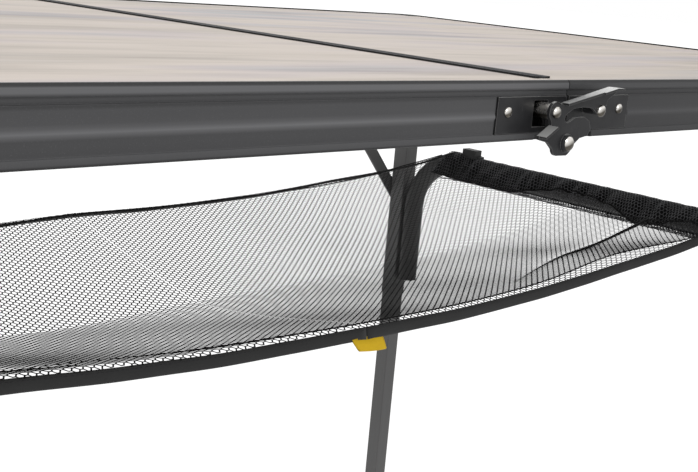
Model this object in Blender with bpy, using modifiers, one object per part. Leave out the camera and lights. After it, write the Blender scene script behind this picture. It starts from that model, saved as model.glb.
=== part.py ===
"""Camp kitchen table: two framed halves that fold like a suitcase, two leg frames and a hanging net shelf.

Metres, +Z up. The origin is on the floor under the middle of the table, +X runs along its length and
the front is at -Y. The seam between the halves is the plane X = 0.
"""

import math

import bmesh
import bpy
from mathutils import Matrix, Vector

# ---- driving dimensions -------------------------------------------------------------------------
LENGTH = 1.200  # over both end rails
WIDTH = 0.700  # over the front and back rails
HEIGHT = 0.700  # floor to table top
GAP = 0.0003  # between pieces that touch

RAIL_HEIGHT = 0.035
RAIL_DEPTH = 0.020
LIP = 0.003  # width of the rail's rim round the top panel
SEAM_LIP = 0.0068  # the same on the seam rails, with a rounder corner
SEAM_ROUND = 0.0040
PANEL = 0.005  # thickness of the top panel
RECESS = 0.0013  # the panel lies this far below the rails' rims
LEDGE = -PANEL - RECESS - GAP  # the rebate that it lies in, from the rims
SEAM_GAP = 0.0005  # from the seam plane to each half
CORNER = 0.0217  # side of a corner cap
FOLD_AXIS_Z = HEIGHT - RAIL_HEIGHT - 0.0005

PIVOT_X = 0.560  # leg pivots, from the seam
PIVOT_Z = HEIGHT - 0.0195
LEG_Y = {"right": 0.2935, "left": 0.235}  # the left frame nests inside the right one
TUBE = 0.022  # square leg tube
TUBE_WALL = 0.0007
TUBE_TOP = 0.006  # the tube's end above its pivot
TUBE_LENGTH = 0.354  # pivot to the tube's lower end
INNER_TUBE = 0.0201
INNER_TOP = 0.308  # pivot to the top of the sliding leg
INNER_BOTTOM = PIVOT_Z - 0.006  # pivot to the sliding leg's lower end
FOOT = 0.0235
FOOT_HEIGHT = 0.020
FOOT_SOLE = 0.0057

BAR_RADIUS = 0.0125  # round tube of the shelf bars
BAR_WALL = 0.0012
BAR_BEND = {"right": 0.068, "left": 0.055}  # radius of the bends between bar and arms
BAR_Z = HEIGHT - 0.180
ARM_BOTTOM = HEIGHT - 0.348
ARM_GAP = 0.0005
SLEEVE_HALF = {"right": 0.200, "left": 0.155}  # half width of the net at each bar
NET_HALF = 0.200
SLEEVE = 0.0009  # room for the net's sleeve between bar and clip
NET_Z = HEIGHT - 0.203  # the net's edge at the seam
NET_RISE = 0.029  # the edge's rise from the seam to the bars
NET_SAG = 0.040  # how far the middle hangs below the edges

BRACE_FROM_PIVOT = 0.217
BRACE_ANCHOR_X = 0.374
BRACE_WIDTH = 0.016
BRACE_THICK = 0.0025
BRACE_OFF_LEG = 0.0025  # from the leg's outer face

LATCH_PIVOT = (-0.026, HEIGHT - 0.017)
LATCH_PIN = (0.019, HEIGHT - 0.017)
LATCH_LEVER_Y = 0.0105  # the lever's middle, out from the rail's face
LATCH_LEVER_THICK = 0.002
LATCH_RIVET_X = 0.056
LATCH_PLATE_END = 0.0655
LATCH_PLATE_ROOM = 0.0012  # gap at the plate's outer end
LATCH_STUD = (-0.0125, HEIGHT - 0.0355)

SIDES = {"left": -1, "right": 1}
ENDS = {"front": -1, "back": 1}

PARTS = "camp_kitchen_table"
CUTTERS = "cutters"


# ---- scene, materials and small helpers ---------------------------------------------------------
def clear_scene():
    for thing in list(bpy.data.objects):
        bpy.data.objects.remove(thing, do_unlink=True)


def collection(name):
    group = bpy.data.collections.get(name) or bpy.data.collections.new(name)
    if name not in bpy.context.scene.collection.children:
        bpy.context.scene.collection.children.link(group)
    return group


def material(name, colour, roughness, metallic=0.0):
    made = bpy.data.materials.get(name)
    if made is None:
        made = bpy.data.materials.new(name)
        made.use_nodes = True
        shader = made.node_tree.nodes["Principled BSDF"]
        shader.inputs["Base Color"].default_value = (*colour, 1.0)
        shader.inputs["Roughness"].default_value = roughness
        shader.inputs["Metallic"].default_value = metallic
    return made


def top_laminate():
    return material("top_laminate", (0.58, 0.53, 0.48), 0.45)


def rail_metal():
    return material("rail_aluminium", (0.075, 0.075, 0.080), 0.45, 0.6)


def tube_metal():
    return material("tube_steel", (0.055, 0.053, 0.053), 0.5, 0.4)


def latch_steel():
    return material("latch_steel", (0.045, 0.045, 0.048), 0.35, 0.7)


def nickel():
    return material("nickel", (0.70, 0.68, 0.64), 0.22, 1.0)


def black_plastic():
    return material("black_plastic", (0.02, 0.02, 0.02), 0.5)


def rubber():
    return material("rubber", (0.025, 0.025, 0.025), 0.8)


def net_fabric():
    return material("net_fabric", (0.015, 0.015, 0.016), 0.85)


def add(name, mesh, look, place=None, group=PARTS):
    """A new object with this mesh and material, at place."""
    mesh.name = name
    mesh.materials.clear()
    if look:
        mesh.materials.append(look)
    made = bpy.data.objects.new(name, mesh)
    collection(group).objects.link(made)
    if place is not None:
        made.matrix_world = place
    return made


def smooth(thing, angle=35.0):
    thing.data.shade_smooth()
    thing.data.set_sharp_from_angle(angle=math.radians(angle))


def axes_to(across, up, origin):
    """A place whose local X and Y are across and up, and whose local Z is across x up."""
    x, y = Vector(across), Vector(up)
    z = x.cross(y)
    turn = Matrix((x, y, z)).transposed().to_4x4()
    return Matrix.Translation(Vector(origin)) @ turn


def prism(name, loops, thickness, place, look, group=PARTS):
    """A flat outline with any holes, loops, of this thickness, centred on place's XY plane."""
    curve = bpy.data.curves.new(name, "CURVE")
    curve.dimensions = "2D"
    curve.fill_mode = "BOTH"
    curve.extrude = thickness / 2
    for loop in loops:
        spline = curve.splines.new("POLY")
        spline.points.add(len(loop) - 1)
        for point, (x, y) in zip(spline.points, loop):
            point.co = (x, y, 0.0, 1.0)
        spline.use_cyclic_u = True
    guide = bpy.data.objects.new(name, curve)
    collection(group).objects.link(guide)
    return solid_from_curve(guide, name, place, look, group)


def solid_from_curve(guide, name, place, look, group=PARTS):
    """The curve object as one closed mesh, with its caps welded on."""
    bpy.context.view_layer.update()
    depsgraph = bpy.context.evaluated_depsgraph_get()
    mesh = bpy.data.meshes.new_from_object(guide.evaluated_get(depsgraph))
    weld = bmesh.new()
    weld.from_mesh(mesh)
    bmesh.ops.remove_doubles(weld, verts=weld.verts, dist=0.00001)
    bmesh.ops.recalc_face_normals(weld, faces=weld.faces)
    weld.to_mesh(mesh)
    weld.free()
    curve = guide.data
    bpy.data.objects.remove(guide, do_unlink=True)
    bpy.data.curves.remove(curve)
    return add(name, mesh, look, place, group)


def block(name, x, y, z, look, group=PARTS):
    """A plain block between two limits along each axis, given in either order."""
    made = bmesh.new()
    bmesh.ops.create_cube(made, size=1.0)
    bmesh.ops.scale(made, vec=[abs(pair[1] - pair[0]) for pair in (x, y, z)], verts=made.verts)
    mesh = bpy.data.meshes.new(name)
    made.to_mesh(mesh)
    made.free()
    return add(name, mesh, look, Matrix.Translation([sum(pair) / 2 for pair in (x, y, z)]), group)


def turned(name, profile, place, look, steps=20, group=PARTS):
    """A turned solid about place's local Z, from (radius, height) points given top to bottom."""
    mesh = bpy.data.meshes.new(name)
    points = [(r, 0.0, h) for r, h in profile]
    mesh.from_pydata(points, [(i, i + 1) for i in range(len(points) - 1)], [])
    made = add(name, mesh, look, place, group)
    screw = made.modifiers.new("turn", "SCREW")
    screw.steps = screw.render_steps = steps
    screw.use_merge_vertices = True
    screw.merge_threshold = 0.00001
    screw.use_normal_calculate = False
    return made


def pin(name, radius, start, end, axis, look, steps=16, group=PARTS):
    """A plain round pin. start is a point on it, end the height along axis."""
    return turned(name, [(0, end), (radius, end), (radius, 0), (0, 0)], facing(axis, start), look, steps, group)


def facing(axis, origin):
    """A place whose local Z is axis."""
    turn = Vector(axis).to_track_quat("Z", "Y").to_matrix().to_4x4()
    return Matrix.Translation(Vector(origin)) @ turn


def cut(thing, cutter, operation="DIFFERENCE"):
    """Cuts thing with cutter, which stays hidden among the cutters."""
    cutter.hide_render = True
    cutter.display_type = "WIRE"
    boolean = thing.modifiers.new(cutter.name, "BOOLEAN")
    boolean.operation = operation
    boolean.solver = "EXACT"
    boolean.object = cutter


def bevel(thing, width, segments=1, angle=40.0):
    edge = thing.modifiers.new("edges", "BEVEL")
    edge.width = width
    edge.segments = segments
    edge.limit_method = "ANGLE"
    edge.angle_limit = math.radians(angle)


def arc(centre, radius, start, end, steps):
    """Points on an arc, in degrees, both ends included."""
    turns = [math.radians(start + (end - start) * i / steps) for i in range(steps + 1)]
    return [(centre[0] + radius * math.cos(t), centre[1] + radius * math.sin(t)) for t in turns]


def rounded_square(side, radius, steps=3):
    half = side / 2 - radius
    corners = ((half, half, 0), (-half, half, 90), (-half, -half, 180), (half, -half, 270))
    return [p for x, y, start in corners for p in arc((x, y), radius, start, start + 90, steps)]


def on_body(pieces, axis_empty):
    """Hangs pieces on the empty that marks their joint's axis, without moving them."""
    bpy.context.view_layer.update()
    for piece in pieces:
        place = piece.matrix_world.copy()
        piece.parent = axis_empty
        piece.matrix_parent_inverse = axis_empty.matrix_world.inverted()
        piece.matrix_world = place


def joint_axis(name, origin, parent=None):
    empty = bpy.data.objects.new(name, None)
    empty.empty_display_size = 0.03
    collection(PARTS).objects.link(empty)
    empty.location = origin
    bpy.context.view_layer.update()
    if parent:
        on_body([empty], parent)
    return empty


# ---- table halves -------------------------------------------------------------------------------
def rail_outline():
    """Section of an outer rail: depth inward from its face, and height from the table top."""
    outer = [
        (LIP, 0.0),
        (0.0012, 0.0),
        *arc((0.0014, -0.0022), 0.0014, 120, 180, 3),
        (0.0, -0.0048),
        (0.0004, -0.0055),
        (0.0014, -0.0058),
        (0.0014, -0.0086),
        (0.0008, -0.0090),
        (0.0008, -0.0188),
        (0.0001, -0.0204),
        (0.0001, -0.0210),
        (0.0008, -0.0226),
        (0.0008, -0.0303),
        (0.0001, -0.0308),
        (0.0, -0.0338),
        *arc((0.0012, -0.0338), 0.0012, 180, 270, 3),
        (RAIL_DEPTH, -RAIL_HEIGHT),
        (RAIL_DEPTH, LEDGE),
        (LIP, LEDGE),
    ]
    return [outer, hollow_outline(0.003)]


def hollow_outline(wall):
    top, bottom = LEDGE - 0.0017, -RAIL_HEIGHT + 0.002
    return [(wall, top), (wall, bottom), (RAIL_DEPTH - 0.002, bottom), (RAIL_DEPTH - 0.002, top)]


def seam_rail_outline():
    outer = [
        (SEAM_LIP, 0.0),
        *arc((SEAM_ROUND, -SEAM_ROUND), SEAM_ROUND, 90, 180, 5),
        (0.0, -RAIL_HEIGHT),
        (RAIL_DEPTH, -RAIL_HEIGHT),
        (RAIL_DEPTH, LEDGE),
        (SEAM_LIP, LEDGE),
    ]
    return [outer, hollow_outline(0.002)]


def long_rail(side, end):
    """Front or back rail of one half."""
    outward, toward = SIDES[side], ENDS[end]
    inner, outer = SEAM_GAP, LENGTH / 2 - CORNER - GAP
    middle = (outward * (inner + outer) / 2, toward * WIDTH / 2, HEIGHT)
    place = axes_to((0, -toward, 0), (0, 0, 1), middle)
    rail = prism(f"{side}_{end}_rail", rail_outline(), outer - inner, place, rail_metal())
    smooth(rail)
    # the latch plate's pocket, the post's window on the left, and the notch by the seam
    face, bottom = toward * WIDTH / 2, HEIGHT - RAIL_HEIGHT
    outside = face + toward * 0.002
    pocket = block(f"{side}_{end}_plate_pocket", (-outward * 0.002, outward * (LATCH_PLATE_END + LATCH_PLATE_ROOM)),
                   (outside, face - toward * 0.0016), (HEIGHT - 0.0308, HEIGHT - 0.0090), None, CUTTERS)
    cut(rail, pocket)
    notch = block(f"{side}_{end}_notch", (-outward * 0.002, outward * 0.029),
                  (outside, face - toward * 0.0022), (bottom - 0.002, bottom + 0.0034), None, CUTTERS)
    cut(rail, notch)
    if side == "left":
        window = block(f"{end}_window", (-0.0330, -0.0190), (outside, face - toward * 0.010),
                       (HEIGHT - 0.0285, HEIGHT - 0.0110), None, CUTTERS)
        cut(rail, window)
    return rail


def end_rail(side):
    outward = SIDES[side]
    length = WIDTH - 2 * (CORNER + GAP)
    place = axes_to((-outward, 0, 0), (0, 0, 1), (outward * LENGTH / 2, 0, HEIGHT))
    rail = prism(f"{side}_end_rail", rail_outline(), length, place, rail_metal())
    smooth(rail)
    return rail


def seam_rail(side):
    outward = SIDES[side]
    length = WIDTH - 2 * (RAIL_DEPTH + GAP)
    place = axes_to((outward, 0, 0), (0, 0, 1), (outward * SEAM_GAP, 0, HEIGHT))
    rail = prism(f"{side}_seam_rail", seam_rail_outline(), length, place, rail_metal())
    smooth(rail)
    for y in HINGE_Y.values():
        barrel = pin(f"{side}_barrel_room_{y:+.2f}", 0.0042, (0, y - HINGE_HALF - 0.002, FOLD_AXIS_Z),
                     2 * HINGE_HALF + 0.004, (0, 1, 0), None, 20, CUTTERS)
        cut(rail, barrel)
        bed = block(f"{side}_leaf_bed_{y:+.2f}", (-outward * 0.001, outward * (HINGE_LEAF + 0.0004)),
                    (y - HINGE_HALF - 0.0004, y + HINGE_HALF + 0.0004),
                    (HEIGHT - RAIL_HEIGHT - 0.002, HEIGHT - RAIL_HEIGHT + 0.0018), None, CUTTERS)
        cut(rail, bed)
    return rail


def top_panel(side):
    """The laminate panel in the frame's rebate, with its outer corners left to the corner caps."""
    outward = SIDES[side]
    edge_y = WIDTH / 2 - LIP - GAP
    cap_y = WIDTH / 2 - CORNER - 2 * GAP
    tab_y = WIDTH / 2 - RAIL_DEPTH
    edge_x = LENGTH / 2 - LIP - GAP
    cap_x = LENGTH / 2 - CORNER - 2 * GAP
    seam_x = SEAM_GAP + SEAM_LIP + GAP
    front = [
        (seam_x, -tab_y), (SEAM_GAP, -tab_y), (SEAM_GAP, -edge_y), (cap_x, -edge_y),
        (cap_x, -cap_y), (edge_x, -cap_y),
    ]
    outline = front + [(x, -y) for x, y in reversed(front)]
    outline = [(outward * x, y) for x, y in outline]
    place = Matrix.Translation((0, 0, HEIGHT - RECESS - PANEL / 2))
    return prism(f"{side}_top_panel", [outline], PANEL, place, top_laminate())


def corner_cap(side, end):
    outward, toward = SIDES[side], ENDS[end]
    x, y, radius = LENGTH / 2, WIDTH / 2, 0.012
    outline = [
        (x - CORNER, y), (x - CORNER, y - CORNER), (x, y - CORNER),
        *arc((x - radius, y - radius), radius, 0, 90, 6),
    ]
    outline = [(outward * px, toward * py) for px, py in outline]
    place = Matrix.Translation((0, 0, HEIGHT - RAIL_HEIGHT / 2))
    cap = prism(f"{side}_{end}_corner_cap", [outline], RAIL_HEIGHT, place, black_plastic())
    bevel(cap, 0.0008, 2)
    smooth(cap)
    return cap


# ---- seam hinges --------------------------------------------------------------------------------
HINGE_Y = {"front": -0.215, "back": 0.215}
HINGE_HALF = 0.030
HINGE_LEAF = 0.0175
HINGE_LEAF_THICK = 0.0014
KNUCKLE = 0.0034
KNUCKLE_BORE = 0.0018
HINGE_PIN = 0.0015


def hinge_leaf(side, end):
    """A leaf let into the seam rail, with its own knuckles on the fold axis."""
    outward, y = SIDES[side], HINGE_Y[end]
    third = 2 * HINGE_HALF / 3
    own = (-third, third) if side == "left" else (0.0,)
    bottom, top = HEIGHT - RAIL_HEIGHT, HEIGHT - RAIL_HEIGHT + HINGE_LEAF_THICK
    clear_of_knuckle = 0.0046
    leaf = block(f"{side}_{end}_hinge_leaf", (outward * clear_of_knuckle, outward * HINGE_LEAF),
                 (y - HINGE_HALF, y + HINGE_HALF), (bottom, top), latch_steel())
    for middle in own:
        low, high = y + middle - third / 2 + GAP / 2, y + middle + third / 2 - GAP / 2
        web = block(f"{side}_web_{low:+.3f}", (outward * 0.0022, outward * (clear_of_knuckle + 0.002)),
                    (low, high), (bottom, top), None, CUTTERS)
        cut(leaf, web, "UNION")
        knuckle = pin(f"{side}_knuckle_{low:+.3f}", KNUCKLE, (0, low, FOLD_AXIS_Z), high - low, (0, 1, 0),
                      None, 20, CUTTERS)
        cut(leaf, knuckle, "UNION")
    bore = pin(f"{side}_bore_{y:+.2f}", KNUCKLE_BORE, (0, y - HINGE_HALF - 0.002, FOLD_AXIS_Z),
               2 * HINGE_HALF + 0.004, (0, 1, 0), None, 16, CUTTERS)
    cut(leaf, bore)
    return leaf


def hinge_pin(end):
    head, end_y = 0.0026, HINGE_HALF + GAP
    profile = [
        (0, end_y + 0.0012), (head, end_y + 0.0012), (head, end_y), (HINGE_PIN, end_y),
        (HINGE_PIN, -end_y), (head, -end_y), (head, -end_y - 0.0012), (0, -end_y - 0.0012),
    ]
    return turned(f"{end}_hinge_pin", profile, facing((0, 1, 0), (0, HINGE_Y[end], FOLD_AXIS_Z)), nickel(), 16)


# ---- latches ------------------------------------------------------------------------------------
def latch_outline():
    """The lever's plate, in metres from the seam and the table top, anticlockwise as seen from the front.

    A boss on the pivot, a finger arm that hooks over the catch pin, and a lobe that carries the stud.
    """
    px, pz = LATCH_PIVOT[0], LATCH_PIVOT[1] - HEIGHT
    cx, cz = LATCH_PIN[0], LATCH_PIN[1] - HEIGHT
    return [
        *arc((px, pz), 0.0063, 235, 48, 8),
        (0.0140, -0.0052),
        (0.0270, -0.0027),
        (0.0338, -0.0030),
        (0.0348, -0.0041),
        (0.0320, -0.0070),
        (0.0248, -0.0106),
        (0.0245, -0.0140),
        *arc((cx, cz), 0.0037, 45, 205, 8),
        (0.0100, -0.0152),
        (0.0000, -0.0144),
        (-0.0090, -0.0152),
        *arc((-0.0135, -0.0205), 0.0030, 125, 300, 6),
        (-0.0060, -0.0205),
        (0.0030, -0.0204),
        (0.0085, -0.0230),
        (0.0105, -0.0280),
        (0.0080, -0.0318),
        (0.0005, -0.0330),
        *arc((-0.0150, -0.0335), 0.0102, -20, -68, 4),
        *arc((-0.0205, -0.0378), 0.0050, -100, -170, 3),
        (-0.0307, -0.0345),
        (-0.0360, -0.0334),
        (-0.0397, -0.0325),
        (-0.0394, -0.0304),
        (-0.0290, -0.0246),
    ]


def strip(start, end, thick):
    """A thin strip's outline along start to end, on its right-hand side."""
    along = (Vector(end) - Vector(start)).normalized()
    off = Vector((along.y, -along.x)) * thick
    return [tuple(start), tuple(end), tuple(Vector(end) + off), tuple(Vector(start) + off)]


def latch_lever(end):
    toward = ENDS[end]
    face = toward * WIDTH / 2
    middle = face + toward * LATCH_LEVER_Y
    # local X is world X and local Y is world Z, so local Z points to the front
    place = axes_to((1, 0, 0), (0, 0, 1), (0, middle, HEIGHT))
    lever = prism(f"{end}_latch_lever", [latch_outline()], LATCH_LEVER_THICK, place, latch_steel())
    flanges = {
        "finger": (strip((-0.0205, -0.0114), (0.0140, -0.0052), 0.0013), 0.0045),
        "tip": (strip((0.0136, -0.0053), (0.0270, -0.0027), 0.0013), 0.0058),
        "tab": (strip((0.0266, -0.0028), (0.0336, -0.0030), 0.0013), 0.0058),
        "foot": (strip((-0.0394, -0.0304), (-0.0290, -0.0246), 0.0013), 0.0050),
    }
    for name, (outline, flange_out) in flanges.items():
        deep = flange_out + LATCH_LEVER_THICK / 2
        flange_place = axes_to((1, 0, 0), (0, 0, 1), (0, middle + toward * deep / 2, HEIGHT))
        piece = prism(f"{end}_lever_{name}", [outline], deep, flange_place, None, CUTTERS)
        cut(lever, piece, "UNION")
    hole = pin(f"{end}_lever_hole", 0.0026, (LATCH_PIVOT[0], middle - 0.006, LATCH_PIVOT[1]), 0.012,
               (0, 1, 0), None, 16, CUTTERS)
    cut(lever, hole)
    dome = [(0.0056 * math.sin(math.radians(a)), 0.0040 * math.cos(math.radians(a))) for a in range(0, 91, 15)]
    profile = [*dome, (0.0040, -0.0034), (0, -0.0034)]
    at = facing((0, toward, 0), (LATCH_STUD[0], middle + toward * LATCH_LEVER_THICK / 2, LATCH_STUD[1]))
    cut(lever, turned(f"{end}_lever_stud", profile, at, None, 24, CUTTERS), "UNION")
    return lever


def latch_post(end):
    """Post on the left half that carries the lever: it stands on the rail's inner wall."""
    toward = ENDS[end]
    root = -RAIL_DEPTH + 0.002 + GAP
    seat = LATCH_LEVER_Y - LATCH_LEVER_THICK / 2 - GAP
    outer = LATCH_LEVER_Y + LATCH_LEVER_THICK / 2 + GAP
    profile = [(0, outer + 0.0020), (0.0019, outer + 0.0017), (0.0033, outer + 0.0005), (0.0033, outer),
               (0.0023, outer), (0.0023, seat), (0.0048, seat), (0.0048, root), (0, root)]
    place = facing((0, toward, 0), (LATCH_PIVOT[0], toward * WIDTH / 2, LATCH_PIVOT[1]))
    return turned(f"{end}_latch_post", profile, place, nickel(), 20)


def latch_plate(side, end):
    """Riveted plate let into the rail: pierced round the post on the left, with the catch pin on the right."""
    depth, outward, toward = 0.0012, SIDES[side], ENDS[end]
    low, high = outward * (SEAM_GAP + 0.0008), outward * LATCH_PLATE_END
    face = toward * WIDTH / 2
    bottom, top = -0.0305, -0.0093
    loops = [[(low, bottom), (high, bottom), (high, top), (low, top)]]
    if side == "left":
        loops.append([(-0.0325, -0.0272), (-0.0195, -0.0272), (-0.0195, -0.0115), (-0.0325, -0.0115)])
    place = axes_to((1, 0, 0), (0, 0, 1), (0, face - toward * (depth / 2 + 0.0001), HEIGHT))
    name = {"left": "base", "right": "catch"}[side]
    plate = prism(f"{end}_latch_{name}_plate", loops, depth, place, latch_steel())
    head = [(0, 0.0016), (0.0018, 0.0013), (0.0031, 0.0002), (0.0031, -0.0006), (0, -0.0006)]
    at = facing((0, toward, 0), (outward * LATCH_RIVET_X, face, HEIGHT - 0.018))
    cut(plate, turned(f"{side}_{end}_plate_rivet", head, at, None, 20, CUTTERS), "UNION")
    if side == "right":
        outer = LATCH_LEVER_Y + LATCH_LEVER_THICK / 2 + GAP
        profile = [(0, outer + 0.0020), (0.0020, outer + 0.0017), (0.0036, outer + 0.0005),
                   (0.0036, outer), (0.0029, outer), (0.0029, -0.0006), (0, -0.0006)]
        at = facing((0, toward, 0), (LATCH_PIN[0], face, LATCH_PIN[1]))
        cut(plate, turned(f"{end}_catch_pin", profile, at, None, 20, CUTTERS), "UNION")
    return plate


# ---- leg frames ---------------------------------------------------------------------------------
def leg_tube(side, end):
    x, y = SIDES[side] * PIVOT_X, ENDS[end] * LEG_Y[side]
    loops = [rounded_square(TUBE, 0.0015), rounded_square(TUBE - 2 * TUBE_WALL, 0.0009)]
    length = TUBE_TOP + TUBE_LENGTH
    place = Matrix.Translation((x, y, PIVOT_Z + TUBE_TOP - length / 2))
    tube = prism(f"{side}_{end}_leg", loops, length, place, tube_metal())
    smooth(tube)
    hole = pin(f"{side}_{end}_leg_hole", 0.0033, (x, y - 0.015, PIVOT_Z), 0.030, (0, 1, 0), None, 16, CUTTERS)
    cut(tube, hole)
    return tube


def sliding_leg(side, end):
    x, y = SIDES[side] * PIVOT_X, ENDS[end] * LEG_Y[side]
    loops = [rounded_square(INNER_TUBE, 0.0012), rounded_square(INNER_TUBE - 0.0024, 0.0008)]
    length = INNER_BOTTOM - INNER_TOP
    place = Matrix.Translation((x, y, PIVOT_Z - (INNER_TOP + INNER_BOTTOM) / 2))
    leg = prism(f"{side}_{end}_lower_leg", loops, length, place, tube_metal())
    smooth(leg)
    return leg


def foot(side, end):
    """Rubber shoe round the end of the sliding leg."""
    x, y = SIDES[side] * PIVOT_X, ENDS[end] * LEG_Y[side]
    place = Matrix.Translation((x, y, FOOT_HEIGHT / 2))
    shoe = prism(f"{side}_{end}_foot", [rounded_square(FOOT, 0.002)], FOOT_HEIGHT, place, rubber())
    bevel(shoe, 0.0008, 1, 60)
    socket = prism(f"{side}_{end}_socket", [rounded_square(INNER_TUBE + 2 * GAP, 0.0013)], FOOT_HEIGHT,
                   Matrix.Translation((x, y, FOOT_SOLE + FOOT_HEIGHT / 2)), None, CUTTERS)
    cut(shoe, socket)
    smooth(shoe)
    return shoe


def arm_y(side):
    return LEG_Y[side] - TUBE / 2 - ARM_GAP - BAR_RADIUS


def bar_line(name, side, radius, past, look, group=PARTS):
    """A round rod along the shelf bar's line, its ends run past the arms' ends."""
    x, reach = SIDES[side] * PIVOT_X, arm_y(side)
    bend = BAR_BEND[side]
    half = [(reach, ARM_BOTTOM - past), *arc((reach - bend, BAR_Z - bend), bend, 0, 90, 7)]
    path = half + [(-y, z) for y, z in reversed(half)]
    curve = bpy.data.curves.new(name, "CURVE")
    curve.dimensions = "3D"
    curve.bevel_depth = radius
    curve.bevel_resolution = 3
    curve.use_fill_caps = True
    spline = curve.splines.new("POLY")
    spline.points.add(len(path) - 1)
    for point, (y, z) in zip(spline.points, path):
        point.co = (x, y, z, 1.0)
    guide = bpy.data.objects.new(f"{name}_line", curve)
    collection(group).objects.link(guide)
    return solid_from_curve(guide, name, None, look, group)


def shelf_bar(side):
    """A U-shaped round tube: two arms down the legs' inner sides and the bar that carries the net."""
    bar = bar_line(f"{side}_shelf_bar", side, BAR_RADIUS, 0.0, tube_metal())
    smooth(bar)
    cut(bar, bar_line(f"{side}_bar_bore", side, BAR_RADIUS - BAR_WALL, 0.002, None, CUTTERS))
    return bar


def net_clip(side, end):
    """Moulded clip on the net's sleeve near its end: a block on a longer base strip."""
    base_half, block_half = 0.0155, 0.0105
    outline = [
        (-base_half, 0.0), (base_half, 0.0), (base_half, 0.0030), (block_half, 0.0036),
        (block_half, 0.0105), (-block_half, 0.0105), (-block_half, 0.0036), (-base_half, 0.0030),
    ]
    at = (SIDES[side] * PIVOT_X, ENDS[end] * (SLEEVE_HALF[side] - 0.020), BAR_Z + BAR_RADIUS + SLEEVE)
    return prism(f"{side}_{end}_net_clip", [outline], 0.0120, axes_to((0, 1, 0), (0, 0, 1), at), black_plastic())


def net_edge_half(side, x):
    """Half the net's width at this distance from the seam."""
    return NET_HALF + (SLEEVE_HALF[side] - NET_HALF) * abs(x) / PIVOT_X


def net_half(side):
    """Half of the hanging net, as a thin sagging sheet from the seam to just short of the bar."""
    outward = SIDES[side]
    start, end = 0.0006, PIVOT_X - BAR_RADIUS - 0.0030
    columns, rows = 12, 12
    mesh = bpy.data.meshes.new(f"{side}_net")
    grid = bmesh.new()
    lines = []
    for i in range(columns + 1):
        x = start + (end - start) * i / columns
        edge = net_edge_half(side, x) - 0.001
        rise = NET_Z + NET_RISE * (x / PIVOT_X) ** 2
        taut = math.cos(math.pi / 2 * (x / PIVOT_X) ** 3)
        line = []
        for j in range(rows + 1):
            across = 2 * j / rows - 1
            drop = NET_SAG * taut * (1 - across**2)
            line.append(grid.verts.new((outward * x, across * edge, rise - drop)))
        lines.append(line)
    for a, b in zip(lines, lines[1:]):
        for j in range(rows):
            corners = [a[j], b[j], b[j + 1], a[j + 1]]
            grid.faces.new(corners if outward > 0 else list(reversed(corners)))
    grid.to_mesh(mesh)
    grid.free()
    net = add(f"{side}_net", mesh, net_fabric())
    thick = net.modifiers.new("thickness", "SOLIDIFY")
    thick.thickness = 0.0020
    thick.offset = 0.0
    smooth(net)
    return net


# ---- leg brackets, braces and their fastenings --------------------------------------------------
def leg_bracket(side, end):
    """Channel on the end rail, with the bolt that the leg turns on."""
    outward, toward = SIDES[side], ENDS[end]
    room, wall = TUBE / 2 + 0.0005, 0.002
    back = LENGTH / 2 - RAIL_DEPTH - GAP
    front = PIVOT_X - 0.0130
    y0 = toward * LEG_Y[side]
    outline = [
        (back, -room - wall), (back, room + wall), (front, room + wall), (front, room),
        (back - wall, room), (back - wall, -room), (front, -room), (front, -room - wall),
    ]
    outline = [(outward * x, y0 + y) for x, y in outline]
    low, high = HEIGHT - 0.0325, HEIGHT - 0.0075
    place = Matrix.Translation((0, 0, (low + high) / 2))
    channel = prism(f"{side}_{end}_leg_bracket", [outline], high - low, place, latch_steel())
    head = room + wall
    profile = [(0, head + 0.0025), (0.0035, head + 0.0022), (0.0050, head + 0.0010), (0.0050, head - 0.0004),
               (0.0030, head - 0.0004), (0.0030, -head + 0.0004), (0.0050, -head + 0.0004),
               (0.0050, -head - 0.0022), (0, -head - 0.0022)]
    at = facing((0, toward, 0), (outward * PIVOT_X, y0, PIVOT_Z))
    cut(channel, turned(f"{side}_{end}_leg_bolt", profile, at, None, 18, CUTTERS), "UNION")
    return channel


def brace_ends(side):
    """The brace's pivot on the leg and its hook's pin under the top, as X and Z."""
    outward = SIDES[side]
    return (
        Vector((outward * PIVOT_X, PIVOT_Z - BRACE_FROM_PIVOT)),
        Vector((outward * BRACE_ANCHOR_X, PIVOT_Z)),
    )


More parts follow.
